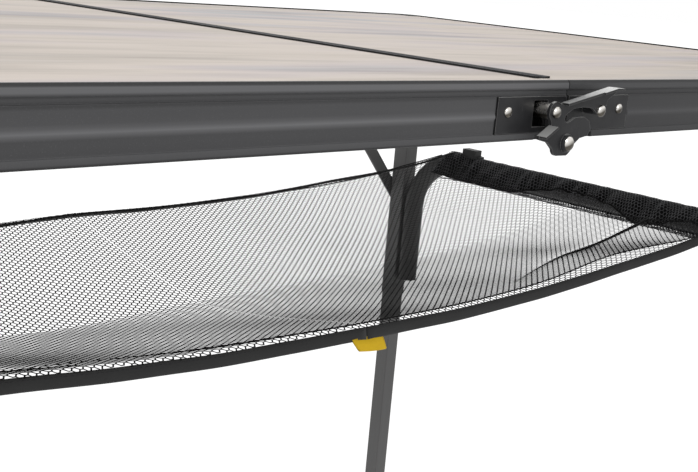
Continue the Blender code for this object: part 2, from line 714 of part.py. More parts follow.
def brace(side, end):
    """Flat bar pivoted on the leg, with a side hook that drops over a pin under the top."""
    toward, outward = ENDS[end], SIDES[side]
    low, high = brace_ends(side)
    length = (high - low).length
    along = (high - low) / length
    off = Vector((-along.y, along.x)) * (-outward)  # toward the leg's own pivot
    half = BRACE_WIDTH / 2
    outline = arc((0, 0), half, 90, 270, 8) + arc((length, 0), half, -90, 90, 8)
    middle_y = toward * (LEG_Y[side] + TUBE / 2 + BRACE_OFF_LEG + BRACE_THICK / 2)
    place = Matrix.Translation((low.x, middle_y, low.y)) @ Matrix((
        (along.x, off.x, 0, 0), (0, 0, 1, 0), (along.y, off.y, 0, 0), (0, 0, 0, 1)))
    if place.determinant() < 0:
        place = place @ Matrix.Diagonal((1, 1, -1, 1))
    bar = prism(f"{side}_{end}_brace", [outline], BRACE_THICK, place, tube_metal())
    smooth(bar)
    # local X runs from the pivot to the hook and local Y toward the mouth's side
    room, opening = 0.0034, Vector((-0.40, 0.92)).normalized()
    aside = Vector((-opening.y, opening.x))
    turn = math.degrees(math.atan2(opening.y, opening.x))
    mouth = arc((length, 0), room, turn + 90, turn + 270, 8)
    tip = Vector((length, 0)) + opening * 0.016
    mouth += [tuple(tip - aside * 0.0050), tuple(tip + aside * 0.0080)]
    hook = prism(f"{side}_{end}_hook_mouth", [mouth], 0.010, place, None, CUTTERS)
    cut(bar, hook)
    shoulder = BRACE_OFF_LEG + 0.0005
    profile = [(0, BRACE_OFF_LEG + BRACE_THICK + 0.0004), (0.0038, BRACE_OFF_LEG + BRACE_THICK + 0.0004),
               (0.0045, shoulder), (0.0045, GAP), (0, GAP)]
    at = facing((0, toward, 0), (low.x, toward * (LEG_Y[side] + TUBE / 2), low.y))
    cut(bar, turned(f"{side}_{end}_brace_rivet", profile, at, None, 18, CUTTERS), "UNION")
    return bar


def brace_pin(side, end):
    """Pin on a flange screwed to the long rail, for the brace's hook."""
    toward = ENDS[end]
    _, high = brace_ends(side)
    wall = WIDTH / 2 - RAIL_DEPTH - GAP
    tip = LEG_Y[side] + TUBE / 2 + 0.0020
    collar = tip + BRACE_THICK + 0.0012
    profile = [(0, wall), (0.0100, wall), (0.0100, wall - 0.002), (0.0045, wall - 0.003),
               (0.0045, collar), (0.0030, collar), (0.0030, tip), (0, tip)]
    return turned(f"{side}_{end}_brace_pin", profile, facing((0, toward, 0), (high.x, 0, high.y)), nickel(), 20)


# ---- assembly -----------------------------------------------------------------------------------
def table_half(side):
    """Everything that stays with one half of the top."""
    made = [top_panel(side), end_rail(side), seam_rail(side), net_half(side)]
    for end in ENDS:
        made += [long_rail(side, end), corner_cap(side, end), leg_bracket(side, end), brace_pin(side, end)]
        made += [latch_plate(side, end), hinge_leaf(side, end)]
    return made


def leg_frame(side, parent):
    """The pieces that swing together, with the sliding legs and braces on axes of their own."""
    frame_axis = joint_axis(f"{side}_leg_axis", (SIDES[side] * PIVOT_X, 0, PIVOT_Z), parent)
    fixed = [shelf_bar(side)] + [leg_tube(side, end) for end in ENDS] + [net_clip(side, end) for end in ENDS]
    on_body(fixed, frame_axis)
    low, _ = brace_ends(side)
    for end, toward in ENDS.items():
        slide_axis = joint_axis(f"{side}_{end}_slide_axis",
                                (SIDES[side] * PIVOT_X, toward * LEG_Y[side], PIVOT_Z - INNER_TOP), frame_axis)
        on_body([sliding_leg(side, end), foot(side, end)], slide_axis)
        brace_axis = joint_axis(f"{side}_{end}_brace_axis", (low.x, toward * LEG_Y[side], low.y), frame_axis)
        on_body([brace(side, end)], brace_axis)


def latch(end):
    latch_post(end)
    axis = joint_axis(f"{end}_latch_axis", (LATCH_PIVOT[0], ENDS[end] * WIDTH / 2, LATCH_PIVOT[1]))
    on_body([latch_lever(end)], axis)


def build():
    clear_scene()
    table_half("left")
    fold_axis = joint_axis("center_fold_axis", (0, 0, FOLD_AXIS_Z))
    on_body(table_half("right"), fold_axis)
    for end in ENDS:
        hinge_pin(end)
        latch(end)
    leg_frame("left", None)
    leg_frame("right", fold_axis)


build()
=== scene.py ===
"""Looks of the camp kitchen table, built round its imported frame.

Metres, in the frame's own axes: +X along the table, the front at -Y, the floor at Z = 0, the seam at X = 0.
"""

import math

import bpy
import numpy as np
from mathutils import Matrix, Vector, noise


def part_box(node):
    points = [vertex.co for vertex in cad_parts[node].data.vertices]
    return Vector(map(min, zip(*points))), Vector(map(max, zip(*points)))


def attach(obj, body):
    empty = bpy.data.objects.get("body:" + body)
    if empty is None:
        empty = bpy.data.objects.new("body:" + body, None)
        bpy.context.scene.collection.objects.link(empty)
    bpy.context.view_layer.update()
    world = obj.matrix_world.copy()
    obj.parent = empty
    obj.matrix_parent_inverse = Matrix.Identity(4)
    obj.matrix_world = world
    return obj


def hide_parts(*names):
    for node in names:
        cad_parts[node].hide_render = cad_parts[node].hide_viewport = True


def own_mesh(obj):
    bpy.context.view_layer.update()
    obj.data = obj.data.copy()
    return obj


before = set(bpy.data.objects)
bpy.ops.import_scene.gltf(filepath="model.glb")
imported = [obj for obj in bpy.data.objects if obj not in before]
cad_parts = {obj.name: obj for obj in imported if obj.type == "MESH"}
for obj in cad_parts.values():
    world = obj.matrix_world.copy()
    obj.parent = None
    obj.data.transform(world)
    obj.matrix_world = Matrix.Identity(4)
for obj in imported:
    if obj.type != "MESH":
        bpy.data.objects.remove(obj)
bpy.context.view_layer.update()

# ---- places read from the frame -----------------------------------------------------------------
SIDES = {"left": -1, "right": 1}
ENDS = {"front": -1, "back": 1}

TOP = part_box("right_front_rail")[1].z
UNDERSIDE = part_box("right_front_rail")[0].z
RAIL_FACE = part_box("right_back_rail")[1].y
BAR_LOW, BAR_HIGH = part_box("right_shelf_bar")
BAR_X = (BAR_LOW.x + BAR_HIGH.x) / 2
BAR_RADIUS = (BAR_HIGH.x - BAR_LOW.x) / 2
BAR_Z = BAR_HIGH.z - BAR_RADIUS
SEAM_HALF_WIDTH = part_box("right_net")[1].y + 0.001  # the net's half width at the seam

# ---- the net's own sizes ------------------------------------------------------------------------
NET_START = 0.0006  # from the seam plane
HEM = 0.035  # the net is sewn to the sleeve this far short of the bar's axis
BAND_MIDDLE_Z = TOP - 0.2015  # the bound edges at the seam
BAND_RISE = 0.0370  # and how much higher they are at the bars
BAND_DROOPS = {  # place along it, reach and depth of each
    "left": ((0.14, 0.08, 0.0022), (0.35, 0.25, 0.0016)),
    "right": ((0.10, 0.08, 0.0012), (0.34, 0.07, -0.0024))}
RIDGE_RISE = 0.0008  # the net's gathered ridge stands this far above the bound edge
MIDDLE_SAG, HEM_SAG = 0.0375, 0.0260  # from that ridge to the net's middle, at the seam and at the sleeves
TAUT_LIFT, TAUT_X, TAUT_REACH = 0.0055, 0.16, 0.14  # round this place, the net hangs this much less deep
CELL_X, CELL_Y = 0.0078, 0.0059  # period of the net's holes along and across
CELL_LINK = 0.0021  # its short yarns along X
YARN_WIDTH, YARN_HEIGHT = 0.00115, 0.00040
YARN_THINNING = {"left": -0.12, "right": 0.34}  # how much thinner the yarns get toward each sleeve
BAND_HEIGHT, BAND_THICK = 0.0092, 0.0022
CREASE_START, CREASE_END = 0.524, 0.215  # the front corner's crease, from the hem toward the seam
CREASE_Y, CREASE_BOW, CREASE_TURN = 0.104, 0.052, 0.49

# ---- the latch's fastenings ---------------------------------------------------------------------
PLATE_RIVET_X, PLATE_RIVET_DEPTH = 0.056, 0.018  # from the seam, and under the table top
CATCH_PIN_X = 0.019
STUD_X, STUD_DEPTH, LEVER_PROUD = -0.0125, 0.0355, 0.0115
HEAD_LIFT = 0.0019  # a head's base is this far short of its pin's tip


def half_width(side):
    """Half the net's width at this side's bar."""
    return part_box(f"{side}_back_net_clip")[1].y + 0.0045


def edge_y(side, x):
    """Half the net's width at distance x from the seam."""
    return SEAM_HALF_WIDTH + (half_width(side) - SEAM_HALF_WIDTH) * x / BAR_X


def band_z(side, x):
    """Height of the bound edges' middle at distance x from the seam."""
    droop = sum(depth * np.exp(-(((x - place) / reach) ** 2)) for place, reach, depth in BAND_DROOPS[side])
    droop -= sum(depth * math.exp(-((place / reach) ** 2)) for place, reach, depth in BAND_DROOPS[side])
    return BAND_MIDDLE_Z + BAND_RISE * (x / BAR_X) ** 2.75 - droop


def ridge_inset(side, x):
    """How far in from its edge the net's gathered ridge runs, at distance x from the seam."""
    wide = 0.0115 * np.exp(-(((x - 0.33) / 0.09) ** 2)) if side == "right" else 0.0
    unmerged = 1 / (1 + np.exp((x - 0.43) / 0.012))
    return 0.0006 + (0.0050 + wide) * unmerged


def gather_inset(side, x):
    """How far in the dark gathering thread runs: on the left it leaves the ridge for the net."""
    stray = 0.0225 * np.clip((x - 0.03) / 0.17, 0, 1) ** 1.2 if side == "left" else 0.0
    return ridge_inset(side, x) + stray


def crease_y(x):
    """How far in front of the middle the corner flap's crease runs."""
    return CREASE_Y + CREASE_BOW * (np.clip(CREASE_TURN - x, 0, None) / 0.25) ** 2


def net_z(side, x, y):
    """Height of the hanging net at distance x from the seam; x and y are arrays."""
    along = x / BAR_X
    edge, inset = edge_y(side, x), ridge_inset(side, x)
    across = np.clip(np.abs(y) / (edge - inset), 0, 1)
    signed_x = SIDES[side] * x
    middle = MIDDLE_SAG - TAUT_LIFT * np.exp(-(((signed_x - TAUT_X) / TAUT_REACH) ** 2))
    sag = HEM_SAG + (middle - HEM_SAG) * np.cos(math.pi / 2 * along**2)
    rim = RIDGE_RISE * np.sin(math.pi / 2 * np.clip((edge - np.abs(y)) / inset, 0, 1))
    waves = 0.0011 * np.sin(x * 31 + 1.3) * np.sin(y * 24 + 0.6) * (1 - across**2)
    strength = np.clip((x - CREASE_END) / 0.10, 0, 1)
    crease = 0.0022 * strength * np.exp(-np.abs(-y - crease_y(x)) / 0.008)
    power = 1.26 + 0.14 * np.tanh(signed_x / 0.12)
    return band_z(side, x) + BAND_HEIGHT / 2 + rim - sag * (1 - across**power) + waves - crease


# ---- materials ----------------------------------------------------------------------------------
class Look:
    """A procedural material. Textures are in metres on the piece's own coordinates."""

    def __init__(self, name, roughness, metallic=0.0, specular=0.5):
        self.made = bpy.data.materials.new(name)
        self.made.use_nodes = True
        self.tree = self.made.node_tree
        self.shader = self.tree.nodes["Principled BSDF"]
        self.place = self.node("ShaderNodeTexCoord").outputs["Object"]
        self.shader.inputs["Roughness"].default_value = roughness
        self.shader.inputs["Metallic"].default_value = metallic
        self.shader.inputs["Specular IOR Level"].default_value = specular

    def node(self, kind, inputs=None, **settings):
        made = self.tree.nodes.new(kind)
        for key, value in settings.items():
            setattr(made, key, value)
        for key, value in (inputs or {}).items():
            if isinstance(value, bpy.types.NodeSocket):
                self.tree.links.new(value, made.inputs[key])
            else:
                made.inputs[key].default_value = value
        return made

    def feed(self, socket, value):
        self.tree.links.new(value, self.shader.inputs[socket])

    def noise(self, per_metre, detail=3.0, roughness=0.5):
        """Noise from 0 to 1 with this many features a metre along X, Y and Z."""
        scaled = self.node("ShaderNodeMapping", {"Vector": self.place, "Scale": per_metre})
        grain = self.node("ShaderNodeTexNoise", {
            "Vector": scaled.outputs[0], "Scale": 1.0, "Detail": detail, "Roughness": roughness})
        return grain.outputs["Fac"]

    def wave(self, per_metre, direction, distortion=0.0):
        bands = self.node("ShaderNodeTexWave", {
            "Vector": self.place, "Scale": per_metre / 20 * 2 * math.pi, "Distortion": distortion,
            "Detail": 2.0}, bands_direction=direction)
        return bands.outputs["Fac"]

    def ramp(self, value, stops):
        """Colours or greys at places from 0 to 1 along value."""
        made = self.node("ShaderNodeValToRGB", {"Fac": value})
        elements = made.color_ramp.elements
        while len(elements) < len(stops):
            elements.new(0.5)
        for element, (place, colour) in zip(elements, stops):
            element.position = place
            rgb = colour if hasattr(colour, "__len__") else (colour, colour, colour)
            element.color = (*rgb, 1.0)
        return made.outputs["Color"]

    def mix(self, factor, a, b, blend="MIX"):
        made = self.node("ShaderNodeMix", data_type="RGBA", blend_type=blend)
        sockets = [s for s in made.inputs if s.enabled and s.type in ("VALUE", "RGBA")]
        for socket, value in zip(sockets, (factor, a, b)):
            if isinstance(value, bpy.types.NodeSocket):
                self.tree.links.new(value, socket)
            elif hasattr(value, "__len__"):
                socket.default_value = (*value, 1.0)
            else:
                socket.default_value = value
        return next(s for s in made.outputs if s.enabled and s.type == "RGBA")

    def add(self, *values):
        total = values[0]
        for value in values[1:]:
            total = self.node("ShaderNodeMath", {0: total, 1: value}, operation="ADD").outputs[0]
        return total

    def times(self, value, factor):
        return self.node("ShaderNodeMath", {0: value, 1: factor}, operation="MULTIPLY").outputs[0]

    def facing_up(self, toward=(0.0, 0.0, 1.0)):
        """Cosine between the piece's own normal and a direction."""
        normal = self.node("ShaderNodeTexCoord").outputs["Normal"]
        made = self.node("ShaderNodeVectorMath", {0: normal, 1: toward}, operation="DOT_PRODUCT")
        return made.outputs["Value"]

    def worn_edge(self, radius, low, high):
        """1 along sharp edges and 0 elsewhere, with the normal that rounds them."""
        rounded = self.node("ShaderNodeBevel", {"Radius": radius}, samples=6)
        flat = self.node("ShaderNodeNewGeometry").outputs["Normal"]
        cosine = self.node("ShaderNodeVectorMath", {0: rounded.outputs[0], 1: flat},
                           operation="DOT_PRODUCT")
        edge = self.node("ShaderNodeMapRange", {
            "Value": cosine.outputs["Value"], "From Min": high, "From Max": low})
        return edge.outputs[0], rounded.outputs[0]

    def bump(self, height, depth, normal=None):
        inputs = {"Height": height, "Distance": depth, "Strength": 1.0}
        if normal is not None:
            inputs["Normal"] = normal
        self.feed("Normal", self.node("ShaderNodeBump", inputs).outputs[0])


def laminate():
    """Matt wood-print laminate: pale beige, pink and blue-grey figure that runs along the table."""
    look = Look("top_laminate", 0.55, specular=0.16)
    broad = look.noise((3.2, 21, 21), 3.0, 0.55)
    fine = look.noise((9, 150, 150), 4.0, 0.6)
    hue = look.noise((2.1, 13, 13), 2.0)
    pores = look.noise((60, 1500, 1500), 2.0)
    tint = look.ramp(hue, [
        (0.30, (0.375, 0.352, 0.338)), (0.42, (0.440, 0.388, 0.342)), (0.50, (0.470, 0.415, 0.370)),
        (0.58, (0.425, 0.374, 0.362)), (0.70, (0.352, 0.347, 0.350))])
    figure = look.ramp(broad, [(0.30, 0.76), (0.45, 0.97), (0.55, 1.0), (0.70, 0.84)])
    lines = look.ramp(fine, [(0.30, 0.88), (0.50, 1.0), (0.72, 0.95)])
    colour = look.mix(1.0, look.mix(1.0, tint, figure, "MULTIPLY"), lines, "MULTIPLY")
    colour = look.mix(look.ramp(pores, [(0.64, 0.0), (0.72, 0.30)]), colour, (0.29, 0.25, 0.21))
    look.feed("Base Color", colour)
    look.feed("Roughness", look.ramp(fine, [(0.3, 0.62), (0.7, 0.55)]))
    look.bump(look.add(look.times(fine, 0.7), look.times(pores, 0.3)), 0.00012)
    return look.made


def panel_underside():
    """Plain grey backing sheet under the top."""
    look = Look("panel_backing", 0.6, specular=0.3)
    cloud = look.noise((14, 14, 14), 3.0)
    look.feed("Base Color", look.ramp(cloud, [
        (0.3, (0.105, 0.103, 0.100)), (0.7, (0.130, 0.127, 0.122))]))
    look.bump(look.noise((900, 900, 900), 2.0), 0.00006)
    return look.made


RAIL_PAINTED_LIGHT = [  # painted light and shade of the rail's lips, grooves and rib, by depth under the table top as a share of the rail's height
    (0.0, 0.60), (0.035, 0.65), (0.055, 2.05), (0.115, 2.05), (0.145, 1.05), (0.21, 0.95), (0.245, 0.68),
    (0.285, 0.72), (0.32, 1.05), (0.48, 1.08), (0.53, 1.45), (0.585, 2.25), (0.635, 1.45), (0.67, 0.92),
    (0.84, 0.90), (0.89, 1.22), (0.95, 1.10), (0.975, 0.35), (1.0, 0.30)]
TONE_RANGE = 2.5  # a ramp's colours end at 1, so the tones are divided by this
RIM_START, RIM_END = 0.0050, 0.0062  # the rim's painted shade fades out between these depths


def powder_coat(name, dark, light, roughness, edge_shade, stretch, rim=1.0, specular=0.22,
                painted_rib_light=0.0):
    """Anthracite coat on metal: fine grain, faint drawn lines along the piece, worn edges.

    The rim's painted shade is for the top few millimetres. The painted rib light, instead, paints into the
    coat the light on a rail's lips and rib and the shade in its grooves.
    """
    look = Look(name, roughness, specular=specular)
    drawn = look.noise(stretch, 3.0)
    cloud = look.noise((11, 11, 11), 3.0)
    grain = look.noise((1500, 1500, 1500), 2.0)
    edge, rounded = look.worn_edge(0.0006, 0.86, 0.985)
    patches = look.add(look.times(drawn, 0.5), look.times(cloud, 0.5))
    height = look.node("ShaderNodeSeparateXYZ", {0: look.place}).outputs["Z"]
    # Painted light and shade: the ramp lightens the lips and the rib and darkens the grooves and the lower
    # face, as the light falls on the rail's profile.
    if painted_rib_light:
        depth = look.node("ShaderNodeMapRange", {
            "Value": height, "From Min": TOP, "From Max": UNDERSIDE}).outputs[0]
        tones = [(place, (1 + painted_rib_light * (tone - 1)) / TONE_RANGE) for place, tone in RAIL_PAINTED_LIGHT]
        bright = look.mix(patches, tuple(TONE_RANGE * part for part in dark),
                          tuple(TONE_RANGE * part for part in light))
        coat = look.mix(1.0, bright, look.ramp(depth, tones), "MULTIPLY")
    else:
        # Painted shade: the top few millimetres take the light colour times rim, so a rim below 1 paints
        # the lip dark.
        on_rim = look.node("ShaderNodeMapRange", {
            "Value": height, "From Min": TOP - RIM_END, "From Max": TOP - RIM_START}).outputs[0]
        coat = look.mix(on_rim, look.mix(patches, dark, light), tuple(rim * part for part in light))
    speck = look.mix(look.ramp(grain, [(0.60, 0.0), (0.74, 0.35)]), coat, edge_shade)
    patchy = look.node("ShaderNodeMath", {0: edge, 1: look.ramp(cloud, [(0.35, 0.25), (0.6, 0.75)])},
                       operation="MULTIPLY").outputs[0]
    look.feed("Base Color", look.mix(patchy, speck, edge_shade))
    look.feed("Roughness", look.ramp(cloud, [(0.3, roughness - 0.05), (0.7, roughness + 0.06)]))
    look.bump(look.add(look.times(grain, 0.8), look.times(drawn, 0.2)), 0.00005, rounded)
    return look.made


def rail_coat(name, rim, shade=1.0, specular=0.22, stretch=(7, 260, 260), painted_rib_light=0.0):
    # shade scales all of the coat's colours. It is a painted shade that makes one rail darker than another,
    # following how the light falls.
    dark, light, edge = (tuple(shade * part for part in colour) for colour in (
        (0.043, 0.043, 0.045), (0.056, 0.056, 0.058), (0.095, 0.095, 0.098)))
    return powder_coat(name, dark, light, 0.52, edge, stretch, rim, specular, painted_rib_light)


def tube_coat():
    return powder_coat("tube_steel", (0.070, 0.069, 0.069), (0.095, 0.094, 0.094), 0.50,
                       (0.14, 0.138, 0.137), (330, 330, 9))


def bar_coat():
    return powder_coat("bar_steel", (0.028, 0.028, 0.028), (0.040, 0.039, 0.039), 0.48,
                       (0.085, 0.083, 0.082), (330, 9, 60))


def latch_coat():
    """Black finish on pressed steel, with fine scratches, bright worn edges and a painted highlight on its
    upward faces toward the lever's tip.
    """
    look = Look("latch_steel", 0.42, specular=0.13)
    scratch = look.noise((1100, 90, 160), 4.0, 0.7)
    cloud = look.noise((60, 60, 60), 4.0)
    edge, rounded = look.worn_edge(0.0005, 0.80, 0.97)
    coat = look.ramp(cloud, [(0.3, (0.010, 0.010, 0.011)), (0.7, (0.018, 0.018, 0.019))])
    scratches_and_top_highlight = look.mix(look.ramp(scratch, [(0.62, 0.0), (0.80, 0.35)]), coat, (0.11, 0.11, 0.11))
    # Painted highlight: faces that point up are painted light grey, more so away from the pivot, as if lit
    # from above.
    painted_top_highlight = look.node("ShaderNodeMapRange", {
        "Value": look.facing_up(), "From Min": 0.80, "From Max": 0.92, "To Max": 0.8}).outputs[0]
    along = look.node("ShaderNodeSeparateXYZ", {0: look.place}).outputs["X"]
    shifted = look.add(along, 0.010)
    from_pivot = look.node("ShaderNodeMath", {0: shifted}, operation="ABSOLUTE").outputs[0]
    highlight_toward_tip = look.node("ShaderNodeMapRange", {
        "Value": from_pivot, "From Min": 0.006, "From Max": 0.036, "To Min": 0.22}).outputs[0]
    scratches_and_top_highlight = look.mix(look.times(painted_top_highlight, highlight_toward_tip), scratches_and_top_highlight, (0.55, 0.55, 0.54))
    look.feed("Base Color", look.mix(look.times(edge, 0.55), scratches_and_top_highlight, (0.24, 0.235, 0.23)))
    look.feed("Roughness", look.ramp(scratch, [(0.35, 0.30), (0.7, 0.46)]))
    look.bump(scratch, 0.00004, rounded)
    return look.made


def nickel():
    """Bright plate, with a painted shade on the undersides of the domes, away from the light above."""
    look = Look("nickel", 0.22, metallic=1.0)
    smudge = look.noise((190, 190, 190), 4.0, 0.6)
    turned_marks = look.noise((2600, 260, 2600), 2.0)
    # Painted shade: where a face turns away from up and -X, the plate is painted near black, as the shade
    # under the dome.
    upward = look.facing_up((-0.45, 0.0, 0.89))
    plate = look.ramp(smudge, [(0.3, (0.62, 0.59, 0.54)), (0.65, (0.84, 0.82, 0.79))])
    painted_underside_shade = look.ramp(smudge, [(0.3, (0.045, 0.04, 0.034)), (0.65, (0.10, 0.09, 0.075))])
    lit = look.node("ShaderNodeMapRange", {
        "Value": upward, "From Min": 0.0, "From Max": 0.40}).outputs[0]
    look.feed("Base Color", look.mix(lit, painted_underside_shade, plate))
    look.feed("Roughness", look.ramp(smudge, [(0.3, 0.34), (0.7, 0.17)]))
    look.bump(turned_marks, 0.00001)
    return look.made


def moulded(name, shade, roughness, grain_size, depth):
    """Fine-grained black plastic or rubber."""
    look = Look(name, roughness, specular=0.25)
    cloud = look.noise((35, 35, 35), 3.0)
    grain = look.noise((grain_size,) * 3, 2.0)
    edge, rounded = look.worn_edge(0.0006, 0.85, 0.98)
    base = look.mix(cloud, (shade, shade, shade), (shade * 1.5,) * 3)
    look.feed("Base Color", look.mix(look.times(edge, 0.35), base, (shade * 4,) * 3))
    look.feed("Roughness", look.ramp(grain, [(0.3, roughness - 0.07), (0.7, roughness + 0.07)]))
    look.bump(grain, depth, rounded)
    return look.made


def yarn(name="net_fabric", shade=0.007):
    """Black knitted yarn."""
    look = Look(name, 0.75, specular=0.15)
    twist = look.noise((2600, 2600, 2600), 1.0)
    cloud = look.noise((25, 25, 25), 2.0)
    low, high = (shade * 0.7,) * 3, (shade * 1.5, shade * 1.5, shade * 1.6)
    look.feed("Base Color", look.mix(look.add(look.times(twist, 0.6), look.times(cloud, 0.4)), low, high))
    look.bump(twist, 0.00012)
    return look.made


def webbing():
    """Dark, finely woven binding."""
    look = Look("band_fabric", 0.80, specular=0.2)
    look.shader.inputs["Sheen Weight"].default_value = 0.06
    ribs = look.wave(1500, "X", 0.6)
    rows = look.wave(1500, "Z", 0.5)
    fuzz = look.noise((1800, 1800, 1800), 2.0)
    cloud = look.noise((30, 30, 120), 3.0)
    cloth = look.mix(cloud, (0.010, 0.010, 0.010), (0.019, 0.019, 0.019))
    lift = look.add(look.times(ribs, 0.3), look.times(rows, 0.3), look.times(fuzz, 0.4))
    look.feed("Base Color", look.mix(look.times(lift, 0.35), cloth, (0.045, 0.045, 0.045)))
    look.bump(lift, 0.00012)
    return look.made


def label_cloth():
    """Plain yellow woven label."""
    look = Look("tag_fabric", 0.75, specular=0.12)
    warp = look.wave(2200, "X", 0.3)
    weft = look.wave(1700, "Z", 0.3)
    cloud = look.noise((90, 90, 90), 3.0)
    cloth = look.mix(cloud, (0.53, 0.335, 0.011), (0.61, 0.415, 0.019))
    weave = look.add(look.times(warp, 0.5), look.times(weft, 0.5))
    gaps = look.ramp(weave, [(0.2, 0.35), (0.6, 0.0)])
    look.feed("Base Color", look.mix(gaps, cloth, (0.36, 0.21, 0.012)))
    look.bump(weave, 0.00018)
    return look.made


# ---- mesh helpers -------------------------------------------------------------------------------
def new_piece(name, verts, faces, look, body, is_smooth=True):
    mesh = bpy.data.meshes.new(name)
    mesh.from_pydata(verts, [], faces)
    mesh.validate()
    mesh.update()
    if is_smooth:
        mesh.shade_smooth()
    mesh.materials.append(look)
    piece = bpy.data.objects.new(name, mesh)
    bpy.context.scene.collection.objects.link(piece)
    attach(piece, body)
    return piece


def bridge(rings, closed=True, capped=True):
    """Vertices and faces of a loft through rings with the same number of points."""
    verts = [tuple(point) for ring in rings for point in ring]
    count = len(rings[0])
    faces = []
    for r in range(len(rings) - 1):
        for k in range(count if closed else count - 1):
            a, b = r * count + k, r * count + (k + 1) % count
            faces.append((a, b, b + count, a + count))
    if capped:
        faces.append(tuple(range(count - 1, -1, -1)))
        last = (len(rings) - 1) * count
        faces.append(tuple(range(last, last + count)))
    return verts, faces


def turned(name, profile, place, look, body, steps=40):
    """A turned piece about place's local Z, from (radius, height) points given bottom to top."""
    rings = []
    for radius, height in profile:
        turns = [2 * math.pi * k / steps for k in range(steps)]
        rings.append([
            place @ Vector((radius * math.cos(t), radius * math.sin(t), height)) for t in turns])
    verts, faces = bridge(rings)
    piece = new_piece(name, verts, faces, look, body)
    piece.data.set_sharp_from_angle(angle=math.radians(50))


def facing(axis, origin):
    """A place at origin whose local Z points along axis."""
    return Matrix.Translation(Vector(origin)) @ Vector(axis).to_track_quat("Z", "Y").to_matrix().to_4x4()


def thread_line(points, radius, sides=6):
    """A thin round line through points, as vertices and faces."""
    rings = []
    for k, point in enumerate(points):
        before, after = Vector(points[max(k - 1, 0)]), Vector(points[min(k + 1, len(points) - 1)])
        turn = (after - before).to_track_quat("Z", "Y")
        size = radius(k / (len(points) - 1)) if callable(radius) else radius
        ring = [(size * math.cos(t), size * math.sin(t), 0) for t in
                (2 * math.pi * s / sides for s in range(sides))]
        rings.append([Vector(point) + turn @ Vector(p) for p in ring])
    return bridge(rings)


def joined(parts):
    """Several (vertices, faces) pairs as one."""
    verts, faces = [], []
    for more_verts, more_faces in parts:
        base = len(verts)
        verts += more_verts
        faces += [tuple(base + k for k in face) for face in more_faces]
    return verts, faces


def round_normals(node, angle=40.0):
    """Shades a CAD node's facets as the round or flat surfaces that they stand for."""
    mesh = node.data
    corner_faces = {}
    normals = [polygon.normal.copy() * polygon.area for polygon in mesh.polygons]
    keys = [tuple(round(c * 1e6) for c in vertex.co) for vertex in mesh.vertices]
    for polygon in mesh.polygons:
        for index in polygon.vertices:
            corner_faces.setdefault(keys[index], []).append(polygon.index)
    least = math.cos(math.radians(angle))
    shaded = []
    for polygon in mesh.polygons:
        own = polygon.normal
        for index in polygon.vertices:
            near = [normals[f] for f in corner_faces[keys[index]]
                    if mesh.polygons[f].normal.dot(own) > least]
            shaded.append(sum(near, Vector()).normalized())
    mesh.shade_smooth()
    mesh.normals_split_custom_set(shaded)


# ---- the CAD nodes' finishes --------------------------------------------------------------------
def dress(node, look):
    """Gives a CAD node its material and smooth shading; its mesh stays."""
    node.data.materials.clear()
    node.data.materials.append(look)
    round_normals(node)


def finish_nodes():
    """A finish for every CAD node that stays in view."""
    across = (260, 7, 260)
    plastic, tube, bright = moulded("black_plastic", 0.014, 0.50, 900, 0.00006), tube_coat(), nickel()
    looks = {
        "top_panel": laminate(),
        # One coat on every rail, with painted shade that differs from rail to rail: the end and back lips
        # and the seam are painted dark, the right front rail is darker than the left, and the painted rib
        # light is weaker on the right.
        "end_rail": rail_coat("rail_aluminium_end", 0.3, 0.6, 0.05, across),
        "seam_rail": rail_coat("rail_aluminium_seam", 1.0, 0.32, 0.08, across),
        "left_front_rail": rail_coat("rail_aluminium_left", 1.0, 0.86, painted_rib_light=1.0),
        "right_front_rail": rail_coat("rail_aluminium_right", 1.0, 0.64, 0.14, painted_rib_light=0.45),
        "back_rail": rail_coat("rail_aluminium_back", 0.3, 0.6, 0.05),
        "corner_cap": plastic,
        "net_clip": plastic,
        "foot": moulded("rubber", 0.016, 0.78, 700, 0.00010),
        "shelf_bar": bar_coat(),
        "_leg": tube,
        "_brace": tube,
        "latch_post": bright,
        "brace_pin": bright,
        "hinge_pin": bright,
    }
    steel = latch_coat()
    for name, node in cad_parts.items():
        if name.endswith("_net"):
            continue
        match = next((key for key in looks if name.endswith(key)), None)
        dress(node, looks[match] if match else steel)
    backing = panel_underside()
    for side in SIDES:
        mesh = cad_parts[f"{side}_top_panel"].data
        mesh.materials.append(backing)
        for polygon in mesh.polygons:
            if polygon.normal.z < -0.5:
                polygon.material_index = 1
    return looks


# ---- the net ------------------------------------------------------------------------------------
def yarn_prisms(start, end, up, width, height):
    """A three-sided yarn for each row of start and end, as vertices and faces."""
    along = end - start
    along /= np.linalg.norm(along, axis=1, keepdims=True)
    aside = np.cross(up, along)
    aside /= np.linalg.norm(aside, axis=1, keepdims=True)
    side, lift = aside * width / 2, up * height
    reach = along * width * 0.3
    rows = [start - side - reach, start + side - reach, start + lift - reach,
            end - side + reach, end + side + reach, end + lift + reach]
    verts = np.stack(rows, axis=1).reshape(-1, 3)
    base = (np.arange(len(start)) * 6)[:, None]
    quads = np.array([(0, 1, 4, 3), (1, 2, 5, 4), (2, 0, 3, 5)])
    faces = (base[:, :, None] + quads[None]).reshape(-1, 4)
    return verts, faces


def lattice(length, half, cell_x, cell_y, link):
    """Start and end of every yarn of a honeycomb net on a flat length x 2 half cloth."""
    columns, rows = int(length / (cell_x / 2)) + 2, int(half / (cell_y / 2)) + 2
    i, j = np.meshgrid(np.arange(-1, columns + 1), np.arange(-rows, rows + 1), indexing="ij")
    even = (i + j) % 2 == 0
    x, y = i[even] * cell_x / 2, j[even] * cell_y / 2
    across = cell_x / 2 - link / 2
    starts, ends = [np.stack([x - link / 2, y], 1)], [np.stack([x + link / 2, y], 1)]
    for way in (-1, 1):
        starts.append(np.stack([x + link / 2, y], 1))
        ends.append(np.stack([x + across, y + way * cell_y / 2], 1))
    return np.concatenate(starts), np.concatenate(ends)


